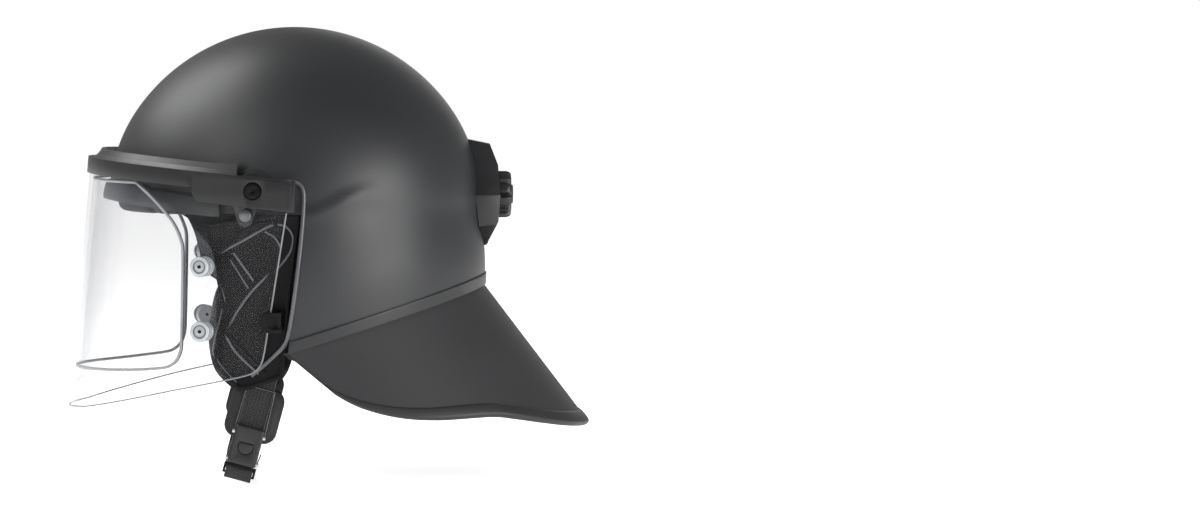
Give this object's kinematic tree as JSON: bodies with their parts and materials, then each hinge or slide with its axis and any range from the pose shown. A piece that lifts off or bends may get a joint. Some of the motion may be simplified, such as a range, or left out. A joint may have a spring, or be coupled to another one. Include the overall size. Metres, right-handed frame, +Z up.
{
  "type": "riot helmet",
  "caption": "Riot helmet with a hinged clear visor, brow bar, flared neck guard, ear guards, padding, rear size dial and a chin strap with push-button buckle.",
  "frame": {"origin": "on the head's centre line, at the height of the visor's pivot axis, 35 mm behind it", "axes": "the face looks along -Y, +Z is up and +X is the wearer's left"},
  "size_m": [0.3168, 0.392, 0.3322],
  "materials": {
    "painted_shell": "matte paint over moulded composite",
    "guard_plastic": "matte grained polyethylene",
    "edging_rubber": "satin rubber edging",
    "black_plastic": "fine grained satin plastic",
    "clear_lens": "clear polycarbonate",
    "clear_stud": "clear moulded plastic",
    "seal_silicone": "soft silicone foam",
    "dark_steel": "blackened steel",
    "chrome": "polished chrome plate",
    "zinc_steel": "zinc plated steel",
    "cushion_fabric": "knitted mesh over foam",
    "flap_leather": "soft grained leatherette",
    "webbing": "ribbed woven polyester",
    "liner_foam": "closed cell impact foam",
    "nylon": "moulded nylon",
    "knob_rubber": "moulded satin rubber"
  },
  "bodies": {
    "helmet": {"shell": "painted_shell", "face_opening_trim": "black_plastic", "rim_band": "black_plastic", "neck_guard": "guard_plastic", "neck_guard_edging": "edging_rubber", "pivot_screws": "dark_steel", "friction_washers": "nylon", "hinge_base_left": "black_plastic", "hinge_base_right": "black_plastic", "pivot_nuts": "zinc_steel", "ear_guard_left": "black_plastic", "ear_guard_right": "black_plastic", "ear_guard_rivets": "dark_steel", "cheek_pad_left": "cushion_fabric", "cheek_pad_right": "cushion_fabric", "jaw_flap_left": "flap_leather", "jaw_flap_right": "flap_leather", "buckle_strap": "webbing", "chin_strap": "webbing", "buckle_base": "black_plastic", "buckle_bars": "zinc_steel", "brow_pad": "cushion_fabric", "crown_pad": "cushion_fabric", "impact_liner": "liner_foam", "headband": "nylon", "adjuster_case": "nylon", "adjuster_cover": "nylon", "dial_housing": "black_plastic", "housing_screws": "dark_steel"},
    "visor": {"visor_bar": "black_plastic", "brow_apron": "black_plastic", "visor_lens": "clear_lens", "antifog_insert": "clear_lens", "insert_seal": "seal_silicone", "insert_studs": "clear_stud", "stud_pins": "dark_steel", "lens_screws": "chrome", "visor_catch_left": "black_plastic", "visor_catch_right": "black_plastic", "pivot_bushes": "nylon"},
    "dial": {"dial_knob": "knob_rubber", "dial_cap": "black_plastic", "dial_shaft": "nylon"},
    "left_rack": {"rack_left": "nylon"},
    "right_rack": {"rack_right": "nylon"},
    "button": {"release_button": "black_plastic"},
    "tongue": {"buckle_tongue": "zinc_steel"}
  },
  "joints": [
    {"name": "visor_tilt", "type": "hinge", "parent": "helmet", "child": "visor", "pos_m": [0, -0.03525, 0], "axis": [-1, 0, 0], "range_deg": [0, 60]},
    {"name": "dial_turn", "type": "hinge", "parent": "helmet", "child": "dial", "pos_m": [0, 0.15, -0.0075], "axis": [0, 1, 0], "range_deg": [-90, 90]},
    {"name": "left_rack_slide", "type": "slide", "parent": "helmet", "child": "left_rack", "axis": [1, 0, 0], "range_m": [-0.0096, 0.0096]},
    {"name": "right_rack_slide", "type": "slide", "parent": "helmet", "child": "right_rack", "axis": [1, 0, 0], "range_m": [-0.0096, 0.0096]},
    {"name": "button_press", "type": "slide", "parent": "helmet", "child": "button", "axis": [-1, 0, 0], "range_m": [0, 0.0015], "stiffness_N_per_m": 600},
    {"name": "tongue_pull", "type": "slide", "parent": "helmet", "child": "tongue", "axis": [0, -0.2588, -0.9659], "range_m": [0, 0.01], "deforming": ["chin_strap"]}
  ],
  "couplings": [
    {"joint": "left_rack_slide", "follows": "dial_turn", "m_per_rad": 0.006},
    {"joint": "right_rack_slide", "follows": "dial_turn", "m_per_rad": -0.006}
  ]
}
